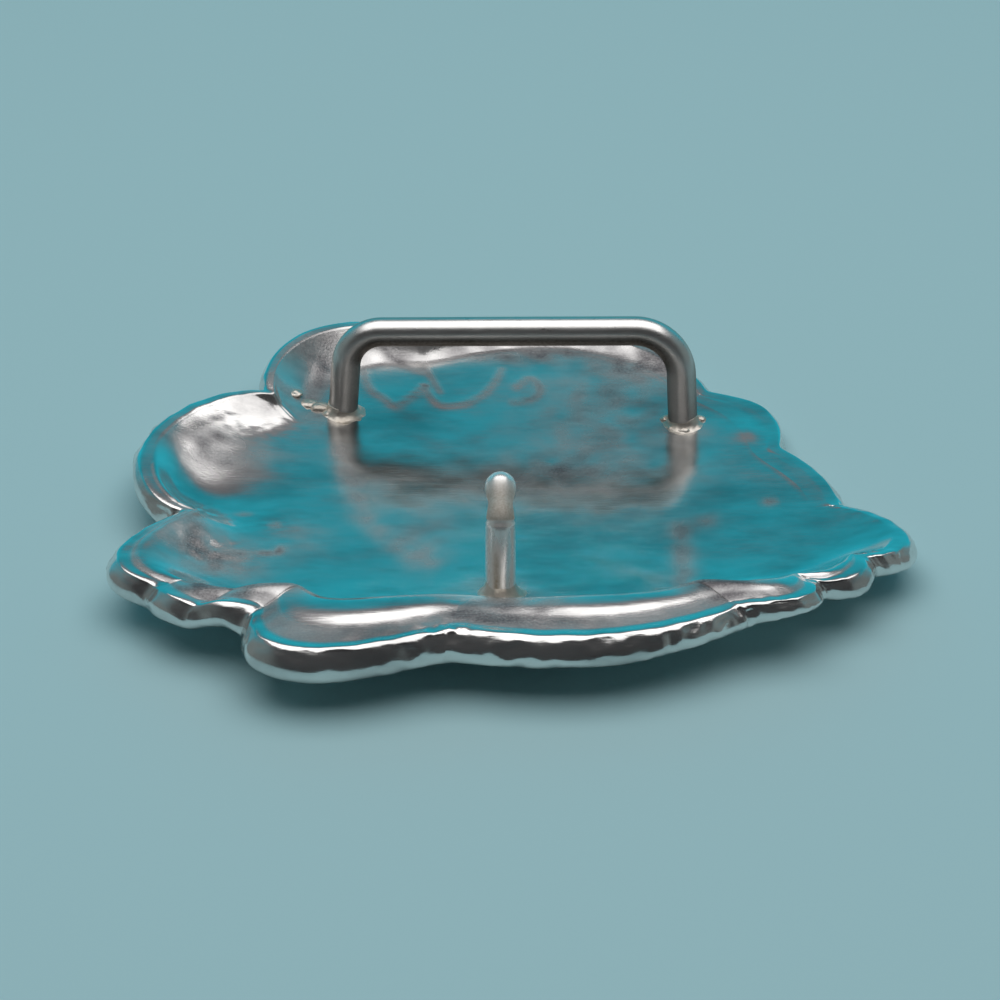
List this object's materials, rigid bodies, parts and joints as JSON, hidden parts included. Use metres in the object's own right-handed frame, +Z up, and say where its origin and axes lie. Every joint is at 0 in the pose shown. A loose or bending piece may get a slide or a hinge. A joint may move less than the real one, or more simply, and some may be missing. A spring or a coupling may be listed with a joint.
{
  "type": "belt buckle",
  "caption": "Cast plate buckle with a petalled outline, seen from its dished back, with a soldered wire bail for the strap and a bent ball-tipped hook.",
  "frame": {"origin": "middle of the plate's box, on the surface that the buckle's face rests on", "axes": "+X along the buckle, +Y from the hook towards the bail, +Z up from the face to the back"},
  "size_m": [0.0908, 0.0772, 0.0161],
  "materials": {
    "silver": "hand-polished sterling silver with fine scratches, a satin wire and grey solder at the feet"
  },
  "bodies": {
    "root": {"buckle": "silver"}
  },
  "joints": []
}
